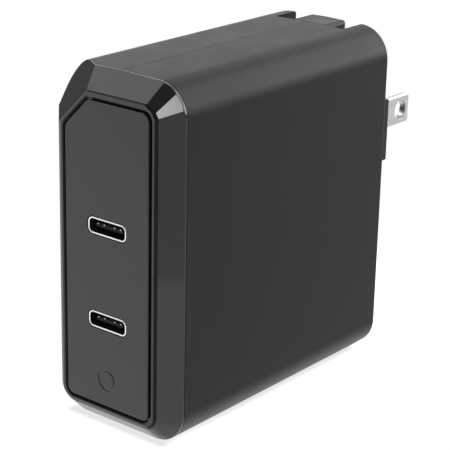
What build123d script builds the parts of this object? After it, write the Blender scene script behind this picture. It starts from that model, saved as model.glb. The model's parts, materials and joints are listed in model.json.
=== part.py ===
from build123d import *
import os
from math import cos, radians, sin

os.makedirs("parts", exist_ok=True)

# A wall charger with two USB-C sockets in its front and a folding two-blade plug in its back.
# Millimetres. The model is drawn with x to the right, y from the front lip towards the wall and
# z up from the base. Every part is saved moved by FRAME_SHIFT, which puts y = 0 at mid-length.

# ---- housing ----
BODY_WIDTH = 30.6
BODY_HEIGHT = 68.55
RIDGE_DROP = 0.3
BODY_DEPTH = 65.15
BODY_RADIUS = 6.5
WALL = 1.6
SEAM = 0.06
SEAM_GROOVE = 0.16
REAR_ROUND = 0.6
FIT_GAP = 0.1

# ---- front bezel: straight facets round the panel, each one (direction, distance) in x-z ----
LIP_DEPTH = 0.15
SHOULDER_DEPTH = 0.4
FACET_DEPTH = 3.8
BEZEL_REAR = 4.2
BEZEL_WALL = 2.7
BEZEL_SKIN = 1.8
SKIRT_REAR = 7.5
SEAM_GAP = 0.12
FACET_ANGLES = (0, 35, 60, 90, 135, 180, 270)
LIP_DISTANCES = (11.3, 45.1, 60.4, 64.6, 48.95, 11.3, -4.0)
FACET_STARTS = (12.0, 45.75, 60.75, 64.8, 49.3, 12.0, -3.25)
LIP_RADIUS = 2.0
FACET_RADIUS = 3.2
BIG_FACET = 4
BIG_FACET_SPREAD = 1.02
BIG_FACET_LAP = 0.3
BIG_FACET_SKIN = 1.4
BIG_FACET_REACH = 12.0

# ---- front panel ----
PANEL_HALF_WIDTH = 10.1
PANEL_BOTTOM = 4.9
PANEL_TOP = 63.1
PANEL_CORNER = 47.85
PANEL_RADIUS = 1.5
PANEL_BACK = 0.95
PANEL_GROOVE = 0.4
PANEL_BEVEL = 0.15
LIP_BEVEL = 0.35
LIP_BEVEL_DEPTH = 0.2
PLATE_BACK = 2.2
EMBLEM_Z = 10.3
EMBLEM_RADIUS = 2.2
EMBLEM_LINE = 0.5
EMBLEM_DEPTH = 0.25

# ---- sockets ----
PORT_X = 0.15
PORT_HEIGHTS = {"upper": 40.0, "lower": 21.8}
PORT_WIDTH = 9.3
PORT_HEIGHT = 3.2
PORT_CORNER = 1.15
PORT_SKIN = 0.32
PORT_FRONT = 0.02
PORT_BACK = 7.38
PORT_GAP = 0.15
TONGUE_WIDTH = 6.7
TONGUE_THICKNESS = 0.7
TONGUE_FRONT = 0.7
TONGUE_BACK = 4.6
INSULATOR_BACK = 7.0
CONTACT_COUNT = 12
CONTACT_PITCH = 0.5
CONTACT_WIDTH = 0.25
CONTACT_THICKNESS = 0.06
CONTACT_LENGTH = 2.8

# ---- folding plug ----
PLUG_X = 0.4
BLADE_PITCH = 12.7
BLADE_THICKNESS = 1.5
BLADE_HEIGHT = 6.35
BLADE_Z = 46.9
BLADE_TIP = 85.7
BLADE_HOLE = 4.1
BLADE_HOLE_FROM_TIP = 3.3
BLADE_CORNER = 0.7
BLADE_BEVEL = 0.3
PIVOT_Y = 63.15
PIVOT_Z = 45.5
HUB_RADIUS = 3.3
HUB_WIDTH = 3.5
BARREL_RADIUS = 2.4
BARREL_CLEARANCE = 0.05
ROOT_RADIUS = 2.3
ROOT_OFFSET = 0.8
TAB_HEIGHT = 1.6
TAB_INSET = 0.05
SLOT_WIDTH = 3.9
SLOT_FRONT = 58.25
SLOT_BOTTOM = 42.05
PAD_HALF_WIDTH = 14.9
PAD_BOTTOM = 41.1
PAD_TOP = 53.7
PAD_FACE = 67.25
PAD_ROUND = 0.9
LAND_ROUND = 0.8
CHEEK = 1.2
PLATE_FRONT = 63.15
CHANNEL_TOP = 66.3
CHANNEL_BOTTOM = 40.5
CHANNEL_FRONT = 57.25
CLAMP_FRONT = 56.05
CLAMP_MARGIN = 0.15
SPRING_GAP = 0.15
SPRING_WIDTH = 2.0
SPRING_THICKNESS = 0.4
SPRING_FRONT = 54.25
SPRING_FOOT = 38.0
SPRING_NOSE = 0.35
DETENT_THICKNESS = 0.25
DETENT_HALF_WIDTH = 3.0
DETENT_HALF_HEIGHT = 1.2
WIRE_RADIUS = 0.8
WIRE_BEND = 1.6
WIRE_TOP = 43.0

# ---- boards and what they carry ----
BOARD = 1.2
MAIN_BOARD_X = -12.6
MAIN_BOARD_Y = (14.0, 51.0)
MAIN_BOARD_Z = (4.0, 63.0)
PORT_BOARD_Y = 7.4
PORT_BOARD_HALF_WIDTH = 12.0
PORT_BOARD_Z = (12.0, 58.0)
RIB = 0.8
SHEET_THICKNESS = 0.3
SHEET_GAP = 0.4
SHEET_MARGIN = 4.0
SPREADER_X = 12.9
SPREADER_THICKNESS = 0.6
BULK_CAN = {"radius": 5.8, "length": 22.0, "z": 10.6, "ys": (20.5, 33.0, 45.0)}
OUTPUT_CAN = {"radius": 3.5, "length": 13.0, "y": 31.0, "zs": (49.4, 57.2)}
PORT_CAN = {"radius": 3.1, "length": 5.4, "x": 8.0, "rise": 2.0}
CRIMP_HEIGHT = 2.0
CRIMP_WIDTH = 0.6
CRIMP_DEPTH = 0.3
CAN_ROUND = 0.5
CHIP_HEIGHT = 0.9
CHIP_HALF = 2.5
FUSE_RADIUS = 1.3
TRANSFORMER_Y = (19.0, 31.0)
TRANSFORMER_Z = (21.0, 43.0)
TRANSFORMER_RIGHT = 8.8
LEG_HALF = 2.6
COIL_MARGIN = 3.4
COIL_OVERHANG = 3.0
CHOKE_Y = 42.0
CHOKE_Z = 44.5
CHOKE_RADII = (3.2, 6.0)
CHOKE_WIDTH = 5.0
CHOKE_STANDOFF = 1.4
WINDING = 0.9
WINDING_GAP = 0.05
WINDING_SPLIT = 2.0
DISC_RADIUS = 4.0
DISC_THICKNESS = 1.4

# ---- derived ----
HALF = BODY_WIDTH / 2
BLADE_XS = {"left": PLUG_X - BLADE_PITCH / 2, "right": PLUG_X + BLADE_PITCH / 2}
SLOT_OUTER = BLADE_PITCH / 2 + SLOT_WIDTH / 2
LAND_HALF = BLADE_PITCH / 2 - SLOT_WIDTH / 2
COMPONENT_X = MAIN_BOARD_X + BOARD
TRANSFORMER_X = (COMPONENT_X + 0.4, TRANSFORMER_RIGHT)
CHOKE_X = (COMPONENT_X + CHOKE_STANDOFF, COMPONENT_X + CHOKE_STANDOFF + CHOKE_WIDTH)
WIRE_Y = SPRING_FRONT - WIRE_RADIUS
WIRE_END_Y = MAIN_BOARD_Y[1] - 1.0
LEFT_WIRE = [
    (BLADE_XS["left"], WIRE_Y, WIRE_TOP),
    (BLADE_XS["left"], WIRE_Y, 37.0),
    (BLADE_XS["left"] - 1.5, WIRE_END_Y, 33.5),
    (COMPONENT_X, WIRE_END_Y, 33.5),
]
RIGHT_WIRE = [
    (BLADE_XS["right"], WIRE_Y, WIRE_TOP),
    (BLADE_XS["right"], WIRE_Y, 36.0),
    (BLADE_XS["right"] - 4.0, WIRE_Y - 1.0, 29.0),
    (COMPONENT_X + 5.0, WIRE_END_Y, 27.0),
    (COMPONENT_X, WIRE_END_Y, 27.0),
]
FRAME_SHIFT = Location((0, -BLADE_TIP / 2, 0))


# ---- helpers ----
def section_plane(y):
    """Plane across the charger at depth y, with local axes x and z."""
    return Plane(origin=(0, y, 0), x_dir=(1, 0, 0), z_dir=(0, -1, 0))


def prism(face, front, back):
    """Solid with an x-z section that runs from depth front to depth back."""
    return extrude(section_plane(front) * face, amount=back - front, dir=(0, 1, 0))


def block(x, y, z):
    """Box between the two values of each axis."""
    centre = Pos((x[0] + x[1]) / 2, (y[0] + y[1]) / 2, (z[0] + z[1]) / 2)
    return centre * Box(x[1] - x[0], y[1] - y[0], z[1] - z[0])


def rod_x(x, y, z, radius):
    """Cylinder along x between the two values of x."""
    return Pos((x[0] + x[1]) / 2, y, z) * Rot(0, 90, 0) * Cylinder(radius, x[1] - x[0])


def rod_y(x, y, z, radius):
    """Cylinder along y between the two values of y."""
    return Pos(x, (y[0] + y[1]) / 2, z) * Rot(90, 0, 0) * Cylinder(radius, y[1] - y[0])


def around(centre, half):
    """The pair of values half either side of centre."""
    return (centre - half, centre + half)


def save(node, shape):
    """Writes one node in the charger's own frame."""
    export_step(FRAME_SHIFT * shape, f"parts/{node}.step")


# ---- housing ----
def body_face(inset=0.0):
    """Section of the housing: flat base and sides, a top with a shallow ridge, round corners."""
    half = HALF - inset
    side_top = BODY_HEIGHT - RIDGE_DROP - inset
    points = [(-half, inset), (half, inset), (half, side_top)]
    points += [(0, BODY_HEIGHT - inset), (-half, side_top)]
    face = make_face(Polyline(*points, close=True))
    corners = [v for v in face.vertices() if abs(v.X) > 1]
    return fillet(corners, BODY_RADIUS - inset)


def meet(line_a, line_b):
    """Point where two (direction, distance) lines of the section cross."""
    a, b = radians(line_a[0]), radians(line_b[0])
    det = sin(b - a)
    x = (line_a[1] * sin(b) - line_b[1] * sin(a)) / det
    z = (line_b[1] * cos(a) - line_a[1] * cos(b)) / det
    return (x, z)


def facet_section(distances, radius):
    """Section through the facets, with its two bottom corners rounded."""
    lines = list(zip(FACET_ANGLES, distances))
    points = [meet(lines[i - 1], lines[i]) for i in range(len(lines))]
    face = make_face(Polyline(*points, close=True))
    bottom = face.vertices().sort_by(Axis.Y)[:2]
    return fillet(bottom, radius)


def body_distance(angle):
    """How far the housing's section reaches in a direction."""
    a = radians(angle)
    corner_z = BODY_RADIUS if sin(a) < 0 else BODY_HEIGHT - BODY_RADIUS
    return abs(cos(a)) * (HALF - BODY_RADIUS) + sin(a) * corner_z + BODY_RADIUS


def facet_rates():
    """How fast each facet spreads with depth: all but the big one end level on the housing."""
    run = FACET_DEPTH - SHOULDER_DEPTH
    rates = [(body_distance(a) - s) / run for a, s in zip(FACET_ANGLES, FACET_STARTS)]
    rates[BIG_FACET] = BIG_FACET_SPREAD
    return rates


def facet_distances(depth, inset=0.0):
    """Distances of the facets at a depth."""
    run = depth - SHOULDER_DEPTH
    return [s + r * run - inset for s, r in zip(FACET_STARTS, facet_rates())]


def facet_radius(depth):
    """Radius of the facets' rounded bottom corners at a depth."""
    run = (depth - SHOULDER_DEPTH) / (FACET_DEPTH - SHOULDER_DEPTH)
    return FACET_RADIUS + run * (BODY_RADIUS - FACET_RADIUS)


def facet_solid(front, back, inset=0.0):
    """Solid inside the facets between two depths."""
    sections = []
    for depth in (front, back):
        face = facet_section(facet_distances(depth, inset), facet_radius(depth))
        sections.append(section_plane(depth) * face)
    return loft(sections, ruled=True)


def big_facet_cut(front, back, inset, reach):
    """Slanted slab on one side of a plane behind the big facet: in front of it if reach is
    positive, behind it if reach is negative."""
    a = radians(FACET_ANGLES[BIG_FACET])
    normal = Vector(cos(a), sin(a))
    along = Vector(-sin(a), cos(a)) * BODY_HEIGHT
    sections = []
    for depth in (front, back):
        edge = normal * (facet_distances(depth, inset)[BIG_FACET])
        far = edge + normal * reach
        points = [edge - along, edge + along, far + along, far - along]
        face = make_face(Polyline(*[(p.X, p.Y) for p in points], close=True))
        sections.append(section_plane(depth) * face)
    return loft(sections, ruled=True)


def housing_tube():
    """Both housing halves in one: a rounded tube, cut back at the big facet."""
    front = BEZEL_REAR + SEAM_GAP
    tube = prism(body_face(), front, BODY_DEPTH)
    rear_edges = tube.faces().sort_by(Axis.Y)[-1].edges()
    tube = fillet(rear_edges, REAR_ROUND)
    tube -= prism(body_face(WALL), front - 1, BODY_DEPTH + 1)
    tube -= big_facet_cut(front - 1, BIG_FACET_REACH, BIG_FACET_LAP + SEAM_GAP, BODY_HEIGHT)
    notch_x = around(PLUG_X, SLOT_OUTER)
    tube -= block(notch_x, (SLOT_FRONT, BODY_DEPTH + 1), (CHANNEL_TOP - 1, BODY_HEIGHT + 1))
    return tube


def seam_groove(z):
    """Fine V along the parting line."""
    bar = Box(SEAM_GROOVE, BODY_DEPTH * 2, SEAM_GROOVE)
    return Pos(0, BODY_DEPTH / 2, z) * Rot(0, 45, 0) * bar


def housing_half(side):
    """Left (side -1) or right (side 1) half of the housing."""
    x = (SEAM / 2, HALF + 1) if side > 0 else (-HALF - 1, -SEAM / 2)
    half = housing_tube() & block(x, (0, BODY_DEPTH + 1), (-1, BODY_HEIGHT + 1))
    for z in (0, BODY_HEIGHT):
        half -= seam_groove(z)
    return half


def weld_ribs():
    """Ribs inside the left half that reach under the right half's edges, and are welded."""
    reach = (-2.4, 1.4)
    root = (-2.4, -1.0)
    y = (SKIRT_REAR + 0.5, CHANNEL_FRONT - 2.5)
    floor = WALL + FIT_GAP
    roof = BODY_HEIGHT - WALL - FIT_GAP - RIDGE_DROP / 4
    bottom = block(reach, y, (floor, floor + RIB))
    bottom += block(root, y, (floor - 2 * FIT_GAP, floor + RIB))
    top = block(reach, y, (roof - RIB, roof))
    top += block(root, y, (roof - RIB, roof + 2 * FIT_GAP))
    return bottom + top


def left_shell():
    return housing_half(-1) + weld_ribs()


def right_shell():
    return housing_half(1)


# ---- front ----
def panel_face(grow=0.0):
    """Outline of the panel: a rectangle with its top left corner cut off."""
    lines = [(0, PANEL_HALF_WIDTH), (90, PANEL_TOP), (135, PANEL_CORNER)]
    lines += [(180, PANEL_HALF_WIDTH), (270, -PANEL_BOTTOM)]
    lines = [(angle, distance + grow) for angle, distance in lines]
    points = [meet(lines[i - 1], lines[i]) for i in range(len(lines))]
    face = make_face(Polyline(*points, close=True))
    return fillet(face.vertices(), PANEL_RADIUS + grow)


def port_face(grow=0.0):
    """Outline of a socket."""
    width, height = PORT_WIDTH + 2 * grow, PORT_HEIGHT + 2 * grow
    return RectangleRounded(width, height, PORT_CORNER + grow)


def port_cut(front, back):
    """Openings for both sockets."""
    opening = port_face(PORT_GAP)
    cuts = [prism(Pos(PORT_X, z) * opening, front, back) for z in PORT_HEIGHTS.values()]
    return cuts[0] + cuts[1]


def emblem_face():
    """Outline of the plain ring near the panel's foot."""
    return Pos(0, EMBLEM_Z) * (Circle(EMBLEM_RADIUS) - Circle(EMBLEM_RADIUS - EMBLEM_LINE))


def emblem_ring():
    """Ring inlaid in the panel, a little below its surface."""
    return prism(emblem_face(), EMBLEM_DEPTH / 2, EMBLEM_DEPTH)


def front_panel():
    panel = prism(panel_face(), 0, PANEL_BACK)
    front_edges = panel.faces().sort_by(Axis.Y)[0].edges()
    panel = chamfer(front_edges, PANEL_BEVEL)
    panel -= port_cut(-1, PANEL_BACK + 1)
    return panel - prism(emblem_face(), -1, EMBLEM_DEPTH)


def bezel_outer():
    """Lip, shoulder and facets as one solid, no larger than the housing's section."""
    lip = section_plane(LIP_DEPTH) * facet_section(LIP_DISTANCES, LIP_RADIUS)
    start = section_plane(SHOULDER_DEPTH) * facet_section(FACET_STARTS, FACET_RADIUS)
    outer = loft([lip, start], ruled=True) + facet_solid(SHOULDER_DEPTH, BIG_FACET_REACH)
    return outer & prism(body_face(), -1, BIG_FACET_REACH)


def bezel_rear_cut():
    """Space behind the bezel: its rim laps the housing's wall, its flange reaches inside it."""
    end = BIG_FACET_REACH + 1
    inner = prism(body_face(WALL + FIT_GAP), BEZEL_REAR, end)
    rim = prism(body_face(-1), BEZEL_REAR, end) - inner
    rim &= big_facet_cut(BEZEL_REAR - 1, end, BIG_FACET_LAP, -BODY_HEIGHT * 2)
    inner &= big_facet_cut(BEZEL_REAR - 1, end, BIG_FACET_SKIN, -BODY_HEIGHT * 2)
    return rim + inner


def bezel_skirt():
    """Thin wall that slides into the housing."""
    ring = body_face(WALL + FIT_GAP) - body_face(BEZEL_WALL)
    skirt = prism(ring, BEZEL_REAR - 0.5, SKIRT_REAR)
    return skirt & big_facet_cut(BEZEL_REAR - 1, BIG_FACET_REACH, BIG_FACET_SKIN, -BODY_HEIGHT * 2)


def lip_bevel():
    """Slope that leads from the lip down into the groove round the panel."""
    wide = section_plane(LIP_DEPTH) * panel_face(PANEL_GROOVE + LIP_BEVEL)
    narrow = section_plane(LIP_DEPTH + LIP_BEVEL_DEPTH) * panel_face(PANEL_GROOVE)
    return loft([wide, narrow], ruled=True)


def front_bezel():
    hollow = facet_solid(PLATE_BACK, BIG_FACET_REACH, BEZEL_SKIN)
    hollow &= prism(body_face(BEZEL_WALL), PLATE_BACK, BIG_FACET_REACH)
    bezel = bezel_outer() - bezel_rear_cut() - hollow + bezel_skirt()
    bezel -= prism(panel_face(PANEL_GROOVE), -1, PANEL_BACK)
    return bezel - lip_bevel() - port_cut(-1, PLATE_BACK + 1)


def usb_shell():
    tube = prism(port_face(), PORT_FRONT, PORT_BACK)
    tube -= prism(port_face(-PORT_SKIN), PORT_FRONT - 1, INSULATOR_BACK)
    return tube


def usb_insulator():
    half_thickness = TONGUE_THICKNESS / 2
    depth = (TONGUE_FRONT, TONGUE_BACK)
    tongue = block(around(0, TONGUE_WIDTH / 2), depth, around(0, half_thickness))
    tongue = fillet(tongue.edges().filter_by(Axis.Y), half_thickness - 0.05)
    base = prism(port_face(-PORT_SKIN - 0.02), TONGUE_BACK, INSULATOR_BACK)
    return tongue + base


def usb_contacts():
    strips = []
    front = TONGUE_FRONT + 0.4
    for side in (-1, 1):
        z = around(side * (TONGUE_THICKNESS + CONTACT_THICKNESS) / 2, CONTACT_THICKNESS / 2)
        for i in range(CONTACT_COUNT):
            x = around((i - (CONTACT_COUNT - 1) / 2) * CONTACT_PITCH, CONTACT_WIDTH / 2)
            strips.append(block(x, (front, front + CONTACT_LENGTH), z))
    return Compound(children=strips)


# ---- folding plug ----
def plug_pad():
    """Raised pad round the blades that meets the wall socket."""
    y = (BODY_DEPTH - 1, PAD_FACE)
    pad = block(around(0, PAD_HALF_WIDTH), y, (PAD_BOTTOM, PAD_TOP))
    rear = pad.faces().sort_by(Axis.Y)[-1].edges()
    pad = fillet(rear, PAD_ROUND)
    return pad & block((-HALF, HALF), (BODY_DEPTH + 0.04, PAD_FACE + 1), (0, BODY_HEIGHT))


def plug_land():
    """Tongue between the two blade slots that closes the housing's top."""
    land = prism(body_face(), SLOT_FRONT + SEAM_GAP, BODY_DEPTH)
    rear_edges = land.faces().sort_by(Axis.Y)[-1].edges()
    land = fillet(rear_edges, REAR_ROUND)
    z = (CHANNEL_BOTTOM + 1, BODY_HEIGHT + 1)
    land &= block(around(PLUG_X, LAND_HALF), (0, BODY_DEPTH + 1), z)
    rear_corners = [e for e in land.edges().filter_by(Axis.Z) if e.center().Y > BODY_DEPTH - 0.3]
    return fillet(rear_corners, LAND_ROUND)


def plug_block():
    """Rear cover with the pad, the two blade slots and the bearing of the plug's barrel."""
    cover = prism(body_face(WALL + FIT_GAP), PLATE_FRONT, BODY_DEPTH - 0.02)
    outer_x = around(PLUG_X, SLOT_OUTER + CHEEK)
    cover += block(outer_x, (CHANNEL_FRONT, PLATE_FRONT + 1), (CHANNEL_BOTTOM, CHANNEL_TOP))
    pad_core = (PAD_BOTTOM + 2, PAD_TOP - 2)
    cover += block(around(0, HALF - 3), (PLATE_FRONT, BODY_DEPTH + 0.5), pad_core)
    cover += plug_pad()
    cover += plug_land()
    window = around(PIVOT_Z, HUB_RADIUS + CLAMP_MARGIN)
    for x in BLADE_XS.values():
        slot = around(x, SLOT_WIDTH / 2)
        cover -= block(slot, (SLOT_FRONT, PAD_FACE + 1), (SLOT_BOTTOM, BODY_HEIGHT + 1))
        cover -= block(slot, (CHANNEL_FRONT - 1, PIVOT_Y), window)
    bearing = BARREL_RADIUS + BARREL_CLEARANCE
    barrel_x = around(PLUG_X, LAND_HALF + 1)
    cover -= rod_x(barrel_x, PIVOT_Y, PIVOT_Z, bearing)
    cover -= block(barrel_x, (CHANNEL_FRONT - 1, PIVOT_Y), around(PIVOT_Z, bearing))
    return cover


def blade(x):
    """Plug blade with its root, its hole and its rounded, bevelled tip."""
    width = around(x, BLADE_THICKNESS / 2)
    height = around(BLADE_Z, BLADE_HEIGHT / 2)
    plate = block(width, (PIVOT_Y + ROOT_OFFSET, BLADE_TIP), height)
    tip_corners = plate.edges().filter_by(Axis.X).sort_by(Axis.Y)[-2:]
    plate = fillet(tip_corners, BLADE_CORNER)
    outline = [e for f in plate.faces().filter_by(Axis.X) for e in f.edges()]
    outline = [e for e in outline if e.center().Y > PIVOT_Y + 2]
    plate = chamfer(outline, BLADE_BEVEL)
    root = rod_x(width, PIVOT_Y, PIVOT_Z, ROOT_RADIUS)
    tab_y = (PIVOT_Y - HUB_RADIUS + TAB_INSET, PIVOT_Y)
    tab = block(width, tab_y, around(PIVOT_Z, TAB_HEIGHT / 2))
    hole_y = BLADE_TIP - BLADE_HOLE_FROM_TIP
    hole = rod_x(around(x, BLADE_THICKNESS), hole_y, BLADE_Z, BLADE_HOLE / 2)
    return plate + root + tab - hole


def plug_rotor():
    """Insulating barrel that carries both blades and turns in the rear cover."""
    reach = BLADE_PITCH / 2
    rotor = rod_x(around(PLUG_X, reach), PIVOT_Y, PIVOT_Z, BARREL_RADIUS)
    for x in BLADE_XS.values():
        rotor += rod_x(around(x, HUB_WIDTH / 2), PIVOT_Y, PIVOT_Z, HUB_RADIUS)
    for x in BLADE_XS.values():
        rotor -= blade(x)
    return rotor


def rotor_clamp():
    """Plate and saddle that close the bearing from inside."""
    z = (CHANNEL_BOTTOM + 0.5, PIVOT_Z + HUB_RADIUS + 2)
    clamp = block(around(PLUG_X, SLOT_OUTER + 0.8), (CLAMP_FRONT, CHANNEL_FRONT), z)
    bearing = BARREL_RADIUS + BARREL_CLEARANCE
    saddle_z = around(PIVOT_Z, bearing - 0.1)
    saddle = block(around(PLUG_X, LAND_HALF - 0.3), (CHANNEL_FRONT - 0.5, PIVOT_Y), saddle_z)
    clamp += saddle - rod_x(around(PLUG_X, LAND_HALF + 1), PIVOT_Y, PIVOT_Z, bearing)
    for x in BLADE_XS.values():
        window = around(x, SPRING_WIDTH / 2 + 0.4)
        clamp -= block(window, (CLAMP_FRONT - 1, CHANNEL_FRONT + 1), around(PIVOT_Z, 1.2))
    front = PIVOT_Y - BARREL_RADIUS
    pocket_x = around(PLUG_X, DETENT_HALF_WIDTH + 0.2)
    pocket_z = around(PIVOT_Z, DETENT_HALF_HEIGHT + 0.2)
    return clamp - block(pocket_x, (front - 1.5, front + 1), pocket_z)


def detent_spring():
    """Leaf that holds the barrel folded or unfolded."""
    back = PIVOT_Y - BARREL_RADIUS - SPRING_GAP
    z = around(PIVOT_Z, DETENT_HALF_HEIGHT)
    leaf = block(around(PLUG_X, DETENT_HALF_WIDTH), (back - DETENT_THICKNESS, back), z)
    foot = block(around(PLUG_X, 0.6), (back - 1.2, back), (z[0] - 0.1, z[0] + 0.3))
    return leaf + foot


def contact_spring(x):
    """Bronze leaf that meets a blade's root when the plug is unfolded."""
    tip = PIVOT_Y - HUB_RADIUS - SPRING_GAP
    width = around(x, SPRING_WIDTH / 2)
    leaf = block(width, (SPRING_FRONT, tip), around(PIVOT_Z, SPRING_THICKNESS / 2))
    nose = rod_x(width, tip - SPRING_NOSE, PIVOT_Z, SPRING_NOSE)
    foot_z = (SPRING_FOOT, PIVOT_Z + SPRING_THICKNESS / 2)
    foot = block(width, (SPRING_FRONT, SPRING_FRONT + SPRING_THICKNESS), foot_z)
    return leaf + nose + foot


def lead_wire(points):
    """Insulated wire from a contact spring's foot to the main board."""
    path = FilletPolyline(*points, radius=WIRE_BEND)
    return sweep(Plane(path @ 0, z_dir=path % 0) * Circle(WIRE_RADIUS), path)


# ---- boards ----
def main_board():
    return block((MAIN_BOARD_X, MAIN_BOARD_X + BOARD), MAIN_BOARD_Y, MAIN_BOARD_Z)


def port_board():
    x = around(0, PORT_BOARD_HALF_WIDTH)
    return block(x, (PORT_BOARD_Y, PORT_BOARD_Y + BOARD), PORT_BOARD_Z)


def can(y, z, radius, length):
    """Cylindrical capacitor that stands on the main board, with a rounded top and a crimp."""
    base = rod_x((COMPONENT_X, COMPONENT_X + length), y, z, radius)
    base = fillet(base.edges().sort_by(Axis.X)[-1], CAN_ROUND)
    crimp_x = COMPONENT_X + CRIMP_HEIGHT
    ring = rod_x((crimp_x, crimp_x + CRIMP_WIDTH), y, z, radius + 1)
    ring -= rod_x((crimp_x - 1, crimp_x + 2), y, z, radius - CRIMP_DEPTH)
    return base - ring


def bulk_capacitors():
    size = (BULK_CAN["radius"], BULK_CAN["length"])
    return Compound(children=[can(y, BULK_CAN["z"], *size) for y in BULK_CAN["ys"]])


def output_capacitors():
    size = (OUTPUT_CAN["radius"], OUTPUT_CAN["length"])
    return Compound(children=[can(OUTPUT_CAN["y"], z, *size) for z in OUTPUT_CAN["zs"]])


def transformer_core():
    """Ferrite core with a centre leg and two windows."""
    core = block(TRANSFORMER_X, TRANSFORMER_Y, TRANSFORMER_Z)
    middle = sum(TRANSFORMER_X) / 2
    z = (TRANSFORMER_Z[0] + COIL_MARGIN, TRANSFORMER_Z[1] - COIL_MARGIN)
    for window in ((TRANSFORMER_X[0] + COIL_MARGIN, middle - LEG_HALF),
                   (middle + LEG_HALF, TRANSFORMER_X[1] - COIL_MARGIN)):
        core -= block(window, (TRANSFORMER_Y[0] - 1, TRANSFORMER_Y[1] + 1), z)
    return core


def transformer_coil():
    """Taped coil round the centre leg."""
    gap = COIL_MARGIN + 0.1
    x = (TRANSFORMER_X[0] + gap, TRANSFORMER_X[1] - gap)
    z = (TRANSFORMER_Z[0] + gap, TRANSFORMER_Z[1] - gap)
    y = (TRANSFORMER_Y[0] - COIL_OVERHANG, TRANSFORMER_Y[1] + COIL_OVERHANG)
    coil = block(x, y, z)
    coil = fillet(coil.edges().filter_by(Axis.Z), 2.0)
    middle = sum(TRANSFORMER_X) / 2
    leg = around(middle, LEG_HALF + 0.1)
    return coil - block(leg, (TRANSFORMER_Y[0] - 0.1, TRANSFORMER_Y[1] + 0.1), TRANSFORMER_Z)


def chip_box(x_height, y, z, edge=0.4):
    """Moulded box that stands on the main board."""
    box = block((COMPONENT_X, COMPONENT_X + x_height), y, z)
    return fillet(box.edges().filter_by(Axis.X), edge)


def x_capacitor():
    return chip_box(14.0, (36.5, 48.5), (18.5, 32.0), 0.8)


def bridge_rectifier():
    return chip_box(3.4, (38.0, 48.0), (53.5, 61.0))


def power_switch():
    return chip_box(1.4, (16.0, 24.0), (46.0, 52.0))


def output_inductor():
    return chip_box(8.0, (16.0, 27.0), (53.5, 61.5), 1.0)


def choke_core():
    """Ferrite ring of the mains filter."""
    ring = rod_x(CHOKE_X, CHOKE_Y, CHOKE_Z, CHOKE_RADII[1])
    return ring - rod_x((CHOKE_X[0] - 1, CHOKE_X[1] + 1), CHOKE_Y, CHOKE_Z, CHOKE_RADII[0])


def choke_windings():
    """Two coils on the ring, one each side of it."""
    inner, outer = CHOKE_RADII
    outer_x = (CHOKE_X[0] - WINDING, CHOKE_X[1] + WINDING)
    long_x = (outer_x[0] - 1, outer_x[1] + 1)
    core_x = (CHOKE_X[0] - WINDING_GAP, CHOKE_X[1] + WINDING_GAP)
    wound = rod_x(outer_x, CHOKE_Y, CHOKE_Z, outer + WINDING)
    wound -= rod_x(long_x, CHOKE_Y, CHOKE_Z, inner - WINDING)
    core = rod_x(core_x, CHOKE_Y, CHOKE_Z, outer + WINDING_GAP)
    core -= rod_x(long_x, CHOKE_Y, CHOKE_Z, inner - WINDING_GAP)
    split = block(outer_x, around(CHOKE_Y, WINDING_SPLIT), around(CHOKE_Z, outer + 2))
    return wound - core - split


def fuse():
    """Small tubular fuse that lies on the main board."""
    return rod_y(COMPONENT_X + FUSE_RADIUS, (38.5, 48.5), CHOKE_Z - 10.0, FUSE_RADIUS)


def y_capacitor():
    """Disc capacitor between the two sides of the transformer."""
    front = TRANSFORMER_Y[0] - 4.6
    disc_y = (front, front + DISC_THICKNESS)
    disc = rod_y(COMPONENT_X + DISC_RADIUS + 1.0, disc_y, 34.0, DISC_RADIUS)
    leg = block((COMPONENT_X, COMPONENT_X + 2), (front + 0.6, front + 1.0), (32.0, 32.6))
    return disc + leg


def board_header():
    """Connector between the two boards."""
    y = (PORT_BOARD_Y + BOARD, MAIN_BOARD_Y[0] + 1.5)
    return block((COMPONENT_X, COMPONENT_X + 3.0), y, (45.0, 57.0))


def port_controllers():
    back = PORT_BOARD_Y + BOARD
    y = (back, back + CHIP_HEIGHT)
    chips = [block(around(0.5, CHIP_HALF), y, around(z, CHIP_HALF)) for z in PORT_HEIGHTS.values()]
    return Compound(children=chips)


def port_capacitors():
    back = PORT_BOARD_Y + BOARD
    y = (back, back + PORT_CAN["length"])
    heights = [z + PORT_CAN["rise"] for z in PORT_HEIGHTS.values()]
    return Compound(children=[rod_y(PORT_CAN["x"], y, z, PORT_CAN["radius"]) for z in heights])


def heat_spreader():
    """Aluminium plate bonded inside the right half."""
    return block((SPREADER_X, SPREADER_X + SPREADER_THICKNESS), (12.0, 54.0), (9.0, 59.5))


def thermal_pad():
    """Soft pad between the transformer and the heat spreader."""
    return block((TRANSFORMER_X[1], SPREADER_X), (20.0, 30.0), (22.0, 42.0))


def insulation_sheet():
    """Thin sheet between the main board and the left half."""
    back = MAIN_BOARD_X - SHEET_GAP
    z = (MAIN_BOARD_Z[0] + SHEET_MARGIN, MAIN_BOARD_Z[1] - SHEET_MARGIN)
    return block((back - SHEET_THICKNESS, back), MAIN_BOARD_Y, z)


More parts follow.
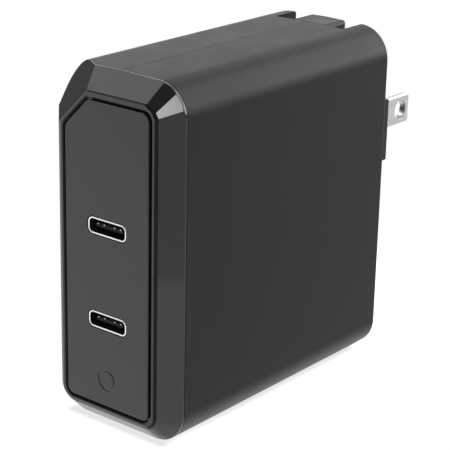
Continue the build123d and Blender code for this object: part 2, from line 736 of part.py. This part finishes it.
# ---- build ----
save("left_shell", left_shell())
save("right_shell", right_shell())
save("front_bezel", front_bezel())
save("front_panel", front_panel())
save("emblem_ring", emblem_ring())
for level, height in PORT_HEIGHTS.items():
    place = Pos(PORT_X, 0, height)
    save(f"usb_shell_{level}", place * usb_shell())
    save(f"usb_insulator_{level}", place * usb_insulator())
    save(f"usb_contacts_{level}", place * usb_contacts())
save("plug_block", plug_block())
save("plug_rotor", plug_rotor())
save("rotor_clamp", rotor_clamp())
save("detent_spring", detent_spring())
for side, blade_x in BLADE_XS.items():
    save(f"blade_{side}", blade(blade_x))
    save(f"contact_spring_{side}", contact_spring(blade_x))
save("lead_wire_left", lead_wire(LEFT_WIRE))
save("lead_wire_right", lead_wire(RIGHT_WIRE))
save("main_board", main_board())
save("port_board", port_board())
save("bulk_capacitors", bulk_capacitors())
save("output_capacitors", output_capacitors())
save("transformer_core", transformer_core())
save("transformer_coil", transformer_coil())
save("x_capacitor", x_capacitor())
save("bridge_rectifier", bridge_rectifier())
save("power_switch", power_switch())
save("output_inductor", output_inductor())
save("choke_core", choke_core())
save("choke_windings", choke_windings())
save("fuse", fuse())
save("y_capacitor", y_capacitor())
save("board_header", board_header())
save("port_controllers", port_controllers())
save("port_capacitors", port_capacitors())
save("heat_spreader", heat_spreader())
save("thermal_pad", thermal_pad())
save("insulation_sheet", insulation_sheet())
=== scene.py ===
import json
import math

import bmesh
import bpy
from mathutils import Matrix, Vector


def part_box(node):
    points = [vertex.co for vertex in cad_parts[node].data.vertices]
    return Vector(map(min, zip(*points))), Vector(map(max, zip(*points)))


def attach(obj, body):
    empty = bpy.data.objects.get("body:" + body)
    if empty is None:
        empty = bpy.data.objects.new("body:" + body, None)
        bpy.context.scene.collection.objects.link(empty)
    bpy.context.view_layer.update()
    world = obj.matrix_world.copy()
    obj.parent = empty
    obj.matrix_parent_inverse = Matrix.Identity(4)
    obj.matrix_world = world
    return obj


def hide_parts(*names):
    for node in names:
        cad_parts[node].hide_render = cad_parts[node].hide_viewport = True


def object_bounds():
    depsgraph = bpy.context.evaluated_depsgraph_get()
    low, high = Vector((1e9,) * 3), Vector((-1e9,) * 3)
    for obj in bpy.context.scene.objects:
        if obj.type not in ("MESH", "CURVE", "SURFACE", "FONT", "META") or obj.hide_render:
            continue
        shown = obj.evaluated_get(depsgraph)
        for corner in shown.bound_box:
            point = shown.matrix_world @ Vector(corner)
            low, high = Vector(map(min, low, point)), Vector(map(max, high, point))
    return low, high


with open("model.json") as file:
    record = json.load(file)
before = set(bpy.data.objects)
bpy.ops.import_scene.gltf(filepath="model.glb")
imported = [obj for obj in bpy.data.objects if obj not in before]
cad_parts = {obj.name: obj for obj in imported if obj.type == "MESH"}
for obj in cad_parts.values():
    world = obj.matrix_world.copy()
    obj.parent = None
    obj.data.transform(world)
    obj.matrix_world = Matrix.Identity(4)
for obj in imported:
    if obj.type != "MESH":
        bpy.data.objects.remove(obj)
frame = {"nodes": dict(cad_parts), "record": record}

MM = 0.001
cad_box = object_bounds()
SLOT_OF = {part["node"]: part["material_slot"] for part in frame["record"]["subparts"]}


# ---- camera: long lens, from the front right and a little above ----
AZIMUTH = 39.03
ELEVATION = 19.59
ROLL = 1.23
DISTANCE = 315.5 * MM
AIM_FROM_LIP = 30.0 * MM
AIM_HEIGHT = 35.0 * MM
PAN_RIGHT = 2.29 * MM
PAN_UP = -1.95 * MM
LENS = 130.65
SENSOR = 36.0


def direction(azimuth, elevation):
    """Unit vector at an azimuth (0 faces the front, positive to the right) and an elevation."""
    az, el = math.radians(azimuth), math.radians(elevation)
    return Vector((math.sin(az) * math.cos(el), -math.cos(az) * math.cos(el), math.sin(el)))


def add_camera():
    roll = math.radians(ROLL)
    back = direction(AZIMUTH, ELEVATION)
    level = Vector((math.cos(math.radians(AZIMUTH)), math.sin(math.radians(AZIMUTH)), 0))
    upright = back.cross(level)
    right = level * math.cos(roll) + upright * math.sin(roll)
    up = upright * math.cos(roll) - level * math.sin(roll)
    aim = Vector((0, cad_box[0][1] + AIM_FROM_LIP, AIM_HEIGHT))
    data = bpy.data.cameras.new("camera")
    data.lens = LENS
    data.sensor_width = SENSOR
    camera = bpy.data.objects.new("camera", data)
    bpy.context.scene.collection.objects.link(camera)
    place = aim + back * DISTANCE + right * PAN_RIGHT + up * PAN_UP
    turn = Matrix((right, up, back)).transposed().to_4x4()
    camera.matrix_world = Matrix.Translation(place) @ turn
    bpy.context.scene.camera = camera


# ---- node helpers ----
class Graph:
    """Short way to build a node tree."""

    def __init__(self, tree):
        self.tree = tree
        tree.nodes.clear()

    def node(self, kind, settings=None, **inputs):
        made = self.tree.nodes.new(kind)
        for name, value in (settings or {}).items():
            setattr(made, name, value)
        for name, value in inputs.items():
            self.feed(made, name.replace("_", " "), value)
        return made

    def feed(self, node, name, value):
        socket = node.inputs[int(name)] if name.isdigit() else node.inputs[name]
        if isinstance(value, bpy.types.NodeSocket):
            self.tree.links.new(value, socket)
        else:
            socket.default_value = value

    def math(self, operation, first, second=0.0):
        made = self.node("ShaderNodeMath", {"operation": operation})
        self.feed(made, "0", first)
        self.feed(made, "1", second)
        return made.outputs[0]

    def ramp(self, value, low, high, to_low=0.0, to_high=1.0, smooth=False):
        """Maps a value from one range to another, clamped."""
        kind = "SMOOTHSTEP" if smooth else "LINEAR"
        made = self.node("ShaderNodeMapRange", {"interpolation_type": kind})
        made.inputs["From Min"].default_value = low
        made.inputs["From Max"].default_value = high
        made.inputs["To Min"].default_value = to_low
        made.inputs["To Max"].default_value = to_high
        self.feed(made, "Value", value)
        return made.outputs["Result"]


# ---- studio: a world of soft light panels, and a pale floor that glows like a light table ----
# Each panel: azimuth, elevation, angle of its full light, angle where it ends, strength. A
# negative strength takes light away.
WORLD_BASE = 0.5
PANELS = [
    (31.5, 30, 1, 6, 10.8),
    (-66, 43, 12, 32, 1.65),
    (-87, 5, 5, 11, 1.5),
    (-141, 16, 14, 36, 0.7),
    (152, 26, 12, 34, 3.7),
    (-170, 42, 8, 26, 0.85),
    (152, 8, 5, 16, 3.2),
    (-104, 2, 10, 26, -0.3),
    (-2, 51, 12, 28, -0.2),
    (-39, 22, 10, 24, -0.35),
]


def add_world():
    world = bpy.data.worlds.new("studio")
    world.use_nodes = True
    graph = Graph(world.node_tree)
    ray = graph.node("ShaderNodeTexCoord").outputs["Generated"]
    total = WORLD_BASE
    for azimuth, elevation, inner, outer, strength in PANELS:
        dot = graph.node("ShaderNodeVectorMath", {"operation": "DOT_PRODUCT"})
        graph.feed(dot, "0", ray)
        graph.feed(dot, "1", direction(azimuth, elevation))
        edge, core = math.cos(math.radians(outer)), math.cos(math.radians(inner))
        glow = graph.ramp(dot.outputs["Value"], edge, core, 0, strength, smooth=True)
        total = graph.math("ADD", total, glow)
    shade = graph.node("ShaderNodeBackground", Color=(1, 1, 1, 1), Strength=total)
    out = graph.node("ShaderNodeOutputWorld", Surface=shade.outputs[0])
    world.node_tree.nodes.active = out
    bpy.context.scene.world = world


# The floor: how far it reaches, the strength of each part of its light, and the two places
# between which each part comes or goes, in metres from the origin unless the name says
# otherwise. The front glow also ends along the direction ACROSS, given in x and y.
FLOOR_HALF = 3.0
FLOOR_PLAIN = 1.0
FRONT_GLOW = 0.42
FRONT_ENDS_Y = (-0.05, -0.02)
FRONT_ENDS_ACROSS = (0.115, 0.120)
ACROSS = (0.84, -0.54)
SIDE_GLOW = 0.5
SIDE_STARTS_Y = (-0.045, -0.035)
SIDE_STARTS_X = (-0.03, -0.01)
SIDE_ENDS_X = (0.0155, 0.021)
FAR_LIGHT = 0.3
FAR_FADES = (0.5, 1.1)
SHADE = 0.5
SHADE_STARTS_FROM_LIP = (-1.0 * MM, 2.4 * MM)
SHADE_ENDS_X = (0.011, 0.0155)
SHADE_ENDS_Y = (0.018, 0.024)


def add_floor():
    """Pale floor that gives its own light: plain everywhere near, brighter in front of the charger
    and under its right edge, with a soft shade beneath it."""
    corners = [(x * FLOOR_HALF, y * FLOOR_HALF, 0) for x, y in ((-1, -1), (1, -1), (1, 1), (-1, 1))]
    mesh = bpy.data.meshes.new("floor")
    mesh.from_pydata(corners, [], [(0, 1, 2, 3)])
    floor = bpy.data.objects.new("floor", mesh)
    bpy.context.scene.collection.objects.link(floor)
    mat = bpy.data.materials.new("light_table")
    mat.use_nodes = True
    graph = Graph(mat.node_tree)
    place = graph.node("ShaderNodeTexCoord").outputs["Object"]
    axes = graph.node("ShaderNodeSeparateXYZ", Vector=place)
    x, y = axes.outputs["X"], axes.outputs["Y"]
    across = graph.math("ADD", graph.math("MULTIPLY", x, ACROSS[0]),
                        graph.math("MULTIPLY", y, ACROSS[1]))
    front = graph.math("MULTIPLY", graph.ramp(y, *FRONT_ENDS_Y, 1, 0, smooth=True),
                       graph.ramp(across, *FRONT_ENDS_ACROSS, FRONT_GLOW, 0, smooth=True))
    side = graph.math("MULTIPLY", graph.ramp(y, *SIDE_STARTS_Y, 0, SIDE_GLOW, smooth=True),
                      graph.ramp(x, *SIDE_ENDS_X, 1, 0, smooth=True))
    side = graph.math("MULTIPLY", side, graph.ramp(x, *SIDE_STARTS_X, 0, 1, smooth=True))
    light = graph.math("ADD", graph.math("ADD", front, side), FLOOR_PLAIN)
    reach = graph.node("ShaderNodeVectorMath", {"operation": "LENGTH"})
    graph.feed(reach, "0", place)
    fade = graph.ramp(reach.outputs["Value"], *FAR_FADES, 1, FAR_LIGHT, smooth=True)
    light = graph.math("MULTIPLY", light, fade)
    lip = cad_box[0][1]
    starts, full = (lip + distance for distance in SHADE_STARTS_FROM_LIP)
    shade = graph.math("MULTIPLY", graph.ramp(y, starts, full, 0, SHADE),
                       graph.ramp(graph.math("ABSOLUTE", x), *SHADE_ENDS_X, 1, 0, smooth=True))
    shade = graph.math("MULTIPLY", shade, graph.ramp(y, *SHADE_ENDS_Y, 1, 0, smooth=True))
    light = graph.math("MULTIPLY", light, graph.math("SUBTRACT", 1, shade))
    glow = graph.node("ShaderNodeEmission", Color=(1, 1, 1, 1), Strength=light)
    graph.node("ShaderNodeOutputMaterial", Surface=glow.outputs[0])
    mesh.materials.append(mat)


# ---- materials ----
# Each finish: darker and lighter colour, lowest and highest roughness, grain size in mm, grain
# depth in mm, stretch of the grain along x, y and z, and values for the shader's own sockets.
# The patches of tone are PATCH mm across, and the two sockets are the colours of the mix node.
FINE = (1, 1, 1)
FINISHES = {
    "shell_plastic": (
        (0.004, 0.004, 0.0042), (0.007, 0.007, 0.0074),
        (0.39, 0.43), 0.16, 0.003, FINE, {"Specular IOR Level": 0.175}),
    "bezel_plastic": (
        (0.003, 0.003, 0.0032), (0.0045, 0.0045, 0.005),
        (0.05, 0.09), 2.5, 0.0008, FINE, {"Specular IOR Level": 0.5}),
    # Painted shade: a matt, less glossy copy of the bezel plastic for lip faces turned to the right
    # or the top.
    "shoulder_painted_shade": (
        (0.003, 0.003, 0.003), (0.005, 0.005, 0.005),
        (0.3, 0.38), 0.3, 0.001, FINE, {"Specular IOR Level": 0.11}),
    "panel_plastic": (
        (0.006, 0.006, 0.0065), (0.010, 0.010, 0.0105),
        (0.28, 0.32), 0.12, 0.002, FINE, {"Specular IOR Level": 0.45}),
    "emblem_plastic": (
        (0.005, 0.005, 0.005), (0.008, 0.008, 0.008),
        (0.1, 0.16), 0.5, 0.001, FINE, {}),
    "plug_plastic": (
        (0.004, 0.004, 0.0042), (0.008, 0.008, 0.0084),
        (0.36, 0.46), 0.2, 0.004, FINE, {"Specular IOR Level": 0.2}),
    "usb_steel": (
        (0.55, 0.55, 0.56), (0.72, 0.72, 0.73),
        (0.12, 0.24), 0.5, 0.001, (1, 0.15, 1), {"Metallic": 1.0}),
    "usb_tongue": (
        (0.002, 0.002, 0.002), (0.005, 0.005, 0.005),
        (0.35, 0.5), 0.2, 0.003, FINE, {"Specular IOR Level": 0.12}),
    "contact_gold": (
        (0.4, 0.37, 0.29), (0.58, 0.54, 0.45),
        (0.25, 0.4), 0.3, 0.001, (1, 0.2, 1), {"Metallic": 1.0}),
    "blade_nickel": (
        (0.44, 0.44, 0.44), (0.57, 0.57, 0.57),
        (0.22, 0.36), 0.3, 0.002, (1, 0.06, 1), {"Metallic": 1.0}),
    "spring_steel": (
        (0.4, 0.4, 0.41), (0.55, 0.55, 0.56),
        (0.2, 0.35), 0.3, 0.001, (0.1, 1, 1), {"Metallic": 1.0}),
    "spring_bronze": (
        (0.6, 0.36, 0.18), (0.75, 0.48, 0.26),
        (0.25, 0.4), 0.3, 0.001, (1, 0.1, 1), {"Metallic": 1.0}),
    "wire_white": (
        (0.7, 0.7, 0.68), (0.8, 0.8, 0.78),
        (0.35, 0.45), 0.4, 0.003, FINE, {}),
    "wire_black": (
        (0.012, 0.012, 0.012), (0.022, 0.022, 0.022),
        (0.35, 0.45), 0.4, 0.003, FINE, {}),
    "board_laminate": (
        (0.005, 0.05, 0.018), (0.012, 0.11, 0.04),
        (0.2, 0.32), 1.6, 0.004, (1, 0.4, 1), {}),
    "can_aluminium": (
        (0.015, 0.015, 0.02), (0.03, 0.03, 0.04),
        (0.25, 0.35), 1.0, 0.003, FINE, {}),
    "ferrite": (
        (0.03, 0.03, 0.032), (0.06, 0.06, 0.064),
        (0.5, 0.65), 0.25, 0.01, FINE, {}),
    "coil_tape": (
        (0.7, 0.5, 0.06), (0.85, 0.63, 0.1),
        (0.25, 0.35), 2.0, 0.01, (1, 1, 0.1), {}),
    "copper_wire": (
        (0.35, 0.1, 0.03), (0.65, 0.25, 0.09),
        (0.2, 0.35), 0.7, 0.05, (0.1, 1, 1), {"Metallic": 0.8}),
    "film_cap": (
        (0.6, 0.5, 0.12), (0.75, 0.64, 0.2),
        (0.35, 0.45), 0.5, 0.01, FINE, {}),
    "epoxy_black": (
        (0.01, 0.01, 0.01), (0.02, 0.02, 0.02),
        (0.45, 0.6), 0.2, 0.008, FINE, {}),
    "disc_blue": (
        (0.02, 0.09, 0.3), (0.04, 0.15, 0.42),
        (0.25, 0.35), 0.8, 0.01, FINE, {}),
    "spreader_aluminium": (
        (0.55, 0.56, 0.57), (0.7, 0.71, 0.72),
        (0.3, 0.45), 0.3, 0.002, (1, 1, 0.08), {"Metallic": 1.0}),
    "pad_silicone": (
        (0.3, 0.33, 0.4), (0.42, 0.45, 0.52),
        (0.55, 0.7), 0.4, 0.01, FINE, {}),
    "sheet_insulation": (
        (0.5, 0.36, 0.1), (0.62, 0.46, 0.15),
        (0.25, 0.35), 1.2, 0.002, FINE, {}),
}
PATCH = 6.0
PATCH_DETAIL = 4.0
GRAIN_DETAIL = 3.0
GRAIN_SHARE = 0.5
NOISE_RANGE = (0.35, 0.65)
DARK_SOCKET = 6
LIGHT_SOCKET = 7
made_finishes = {}


def finish(name):
    """Moulded, brushed or coated surface: soft patches of tone, fine grain and uneven gloss."""
    if name in made_finishes:
        return made_finishes[name]
    dark, light, gloss, grain, depth, stretch, sockets = FINISHES[name]
    mat = bpy.data.materials.new(name)
    mat.use_nodes = True
    graph = Graph(mat.node_tree)
    place = graph.node("ShaderNodeTexCoord").outputs["Object"]
    grain_space = graph.node("ShaderNodeMapping", Vector=place, Scale=stretch).outputs[0]
    fine = graph.node("ShaderNodeTexNoise", Vector=grain_space, Scale=1 / (grain * MM),
                      Detail=GRAIN_DETAIL)
    patch = graph.node("ShaderNodeTexNoise", Vector=grain_space, Scale=1 / (PATCH * MM),
                       Detail=PATCH_DETAIL)
    both = graph.math("ADD", graph.math("MULTIPLY", fine.outputs[0], GRAIN_SHARE),
                      graph.math("MULTIPLY", patch.outputs[0], 1 - GRAIN_SHARE))
    level = graph.ramp(both, *NOISE_RANGE)
    color = graph.node("ShaderNodeMix", {"data_type": "RGBA"})
    graph.feed(color, "Factor", level)
    color.inputs[DARK_SOCKET].default_value = (*dark, 1)
    color.inputs[LIGHT_SOCKET].default_value = (*light, 1)
    rough = graph.ramp(patch.outputs[0], *NOISE_RANGE, *gloss)
    bump = graph.node("ShaderNodeBump", Height=fine.outputs[0], Distance=depth * MM, Strength=1.0)
    shader = graph.node("ShaderNodeBsdfPrincipled", Base_Color=color.outputs[2], Roughness=rough,
                        Normal=bump.outputs[0])
    for socket, value in sockets.items():
        shader.inputs[socket].default_value = value
    graph.node("ShaderNodeOutputMaterial", Surface=shader.outputs[0])
    made_finishes[name] = mat
    return mat


# ---- pieces that stand for CAD nodes, with their edges eased ----
# Each piece: width of the eased edge in mm, smallest angle it eases in degrees, steps.
EASED = {
    "left_shell": (0.12, 25, 3),
    "right_shell": (0.12, 25, 3),
    "front_bezel": (0.1, 12, 3),
    "front_panel": (0.06, 20, 2),
    "emblem_ring": (0.03, 30, 2),
    "usb_shell_upper": (0.1, 40, 4),
    "usb_shell_lower": (0.1, 40, 4),
    "usb_insulator_upper": (0.05, 40, 2),
    "usb_insulator_lower": (0.05, 40, 2),
    "plug_block": (0.12, 30, 3),
    "plug_rotor": (0.1, 40, 2),
    "blade_left": (0.1, 20, 3),
    "blade_right": (0.1, 20, 3),
}
SAME_POINT = 0.0005 * MM
SAME_PLANE = math.radians(0.3)
FLATS_WEIGHT = 100
BODIES = frame["record"]["behaviour"]["bodies"]
BODY_OF = {node: body for body, nodes in BODIES.items() for node in nodes}


def eased_copy(node, width, angle, steps):
    """Copy of a CAD node with clean faces and softly rounded edges."""
    mesh = frame["nodes"][node].data.copy()
    mesh.name = node + "_eased"
    mesh.materials.clear()
    shape = bmesh.new()
    shape.from_mesh(mesh)
    bmesh.ops.remove_doubles(shape, verts=shape.verts, dist=SAME_POINT)
    bmesh.ops.dissolve_limit(shape, angle_limit=SAME_PLANE, verts=shape.verts, edges=shape.edges)
    for face in shape.faces:
        face.smooth = True
    shape.to_mesh(mesh)
    shape.free()
    for name in ("custom_normal", "sharp_edge", "sharp_face"):
        if name in mesh.attributes:
            mesh.attributes.remove(mesh.attributes[name])
    piece = bpy.data.objects.new(node + "_finished", mesh)
    bpy.context.scene.collection.objects.link(piece)
    bevel = piece.modifiers.new("ease", "BEVEL")
    bevel.width = width * MM
    bevel.segments = steps
    bevel.limit_method = "ANGLE"
    bevel.angle_limit = math.radians(angle)
    bevel.harden_normals = False
    bevel.use_clamp_overlap = True
    weigh = piece.modifiers.new("flats", "WEIGHTED_NORMAL")
    weigh.keep_sharp = True
    weigh.weight = FLATS_WEIGHT
    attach(piece, BODY_OF[node])
    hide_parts(node)
    mesh.materials.append(finish(SLOT_OF[node]))
    return piece


# ---- the narrow slopes either side of the bezel's lip ----
SLOPE_DEPTHS = (0.16 * MM, 0.39 * MM)
SLOPE_NORMALS = (-0.98, -0.4)
FACES_RIGHT = 0.1
FACES_UP = 0.3
PAINTED_SHADE_MATERIAL = 1
INNER_MATERIAL = 2


def finish_lip_slopes(piece):
    """The bezel's shoulder and the lip's inner slope are matt where they face the right or the top,
    as painted shade there; the rest of the inner slope has the panel's satin finish."""
    lip = cad_box[0][1]
    middle = (cad_box[0][2] + cad_box[1][2]) / 2
    piece.data.materials.append(finish("shoulder_painted_shade"))
    piece.data.materials.append(finish("panel_plastic"))
    for face in piece.data.polygons:
        normal = face.normal
        within = SLOPE_DEPTHS[0] < face.center.y - lip < SLOPE_DEPTHS[1]
        sloped = SLOPE_NORMALS[0] < normal.y < SLOPE_NORMALS[1]
        up = normal.z > FACES_UP and abs(normal.x) < FACES_RIGHT
        inward = normal.x * face.center.x + normal.z * (face.center.z - middle) < 0
        # Painted shade: lip faces turned to the right or the top take the matt copy.
        if within and sloped and (normal.x > FACES_RIGHT or up):
            face.material_index = PAINTED_SHADE_MATERIAL
        elif within and sloped and inward:
            face.material_index = INNER_MATERIAL


# ---- contacts: flat plated strips on each tongue; on its upper side the power and ground ones
# are longer and reach round the tongue's nose ----
PINS = 12
LONG_PINS = (0, 3, 8, 11)
PIN_PITCH = 0.5 * MM
PIN_HALF = 0.14 * MM
TONGUE_HALF = 0.35 * MM
PIN_RISE = 0.06 * MM
PIN_SINK = 0.01 * MM
PIN_ROUND = 0.03 * MM
SHORT_PIN_EDGE = 0.02 * MM
CREST_START = 0.12 * MM
UNDERSIDE_START = 0.04 * MM
NOSE_HEIGHTS = (0.2 * MM, 0.21 * MM, 0.3 * MM)


def pin_profile(front, back, wrapped):
    """Depth and height round one strip, from its front end over the top and back underneath."""
    low, high = TONGUE_HALF - PIN_SINK, TONGUE_HALF + PIN_RISE
    if wrapped:
        nose = front - PIN_ROUND
        start = [(front, NOSE_HEIGHTS[0]), (nose, NOSE_HEIGHTS[1]), (nose, NOSE_HEIGHTS[2]),
                 (front + PIN_ROUND, high - PIN_SINK)]
    else:
        start = [(front, low), (front, high - SHORT_PIN_EDGE)]
    crest = [(front + CREST_START, high), (back, high)]
    return start + crest + [(back, low), (front + UNDERSIDE_START, low)]


def add_contacts(level):
    """Both rows of strips of one socket, as one piece."""
    low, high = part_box("usb_contacts_" + level)
    tongue_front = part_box("usb_insulator_" + level)[0][1]
    middle_x, middle_z = (low[0] + high[0]) / 2, (low[2] + high[2]) / 2
    shape = bmesh.new()
    for side in (-1, 1):
        for pin in range(PINS):
            wrapped = pin in LONG_PINS and side > 0
            profile = pin_profile(tongue_front if wrapped else low[1], high[1], wrapped)
            x = middle_x + (pin - (PINS - 1) / 2) * PIN_PITCH
            rows = []
            for edge in (x - PIN_HALF, x + PIN_HALF):
                places = [(edge, y, middle_z + side * z) for y, z in profile]
                rows.append([shape.verts.new(place) for place in places])
            shape.faces.new(rows[0])
            shape.faces.new(reversed(rows[1]))
            for k in range(len(profile)):
                n = (k + 1) % len(profile)
                shape.faces.new((rows[0][k], rows[1][k], rows[1][n], rows[0][n]))
    bmesh.ops.recalc_face_normals(shape, faces=shape.faces)
    mesh = bpy.data.meshes.new("gold_contacts_" + level)
    shape.to_mesh(mesh)
    shape.free()
    piece = bpy.data.objects.new("gold_contacts_" + level, mesh)
    bpy.context.scene.collection.objects.link(piece)
    mesh.materials.append(finish("contact_gold"))
    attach(piece, "charger")
    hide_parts("usb_contacts_" + level)


REMADE = {"usb_contacts_upper", "usb_contacts_lower"}


def dress_bare_nodes():
    """Finishes for the CAD nodes that stay as they are."""
    for node, obj in frame["nodes"].items():
        if node not in EASED and node not in REMADE:
            obj.data.materials.clear()
            obj.data.materials.append(finish(SLOT_OF[node]))


add_camera()
add_floor()
add_world()
pieces = {node: eased_copy(node, *easing) for node, easing in EASED.items()}
finish_lip_slopes(pieces["front_bezel"])
for level in ("upper", "lower"):
    add_contacts(level)
dress_bare_nodes()
bpy.context.scene.view_settings.view_transform = "Standard"
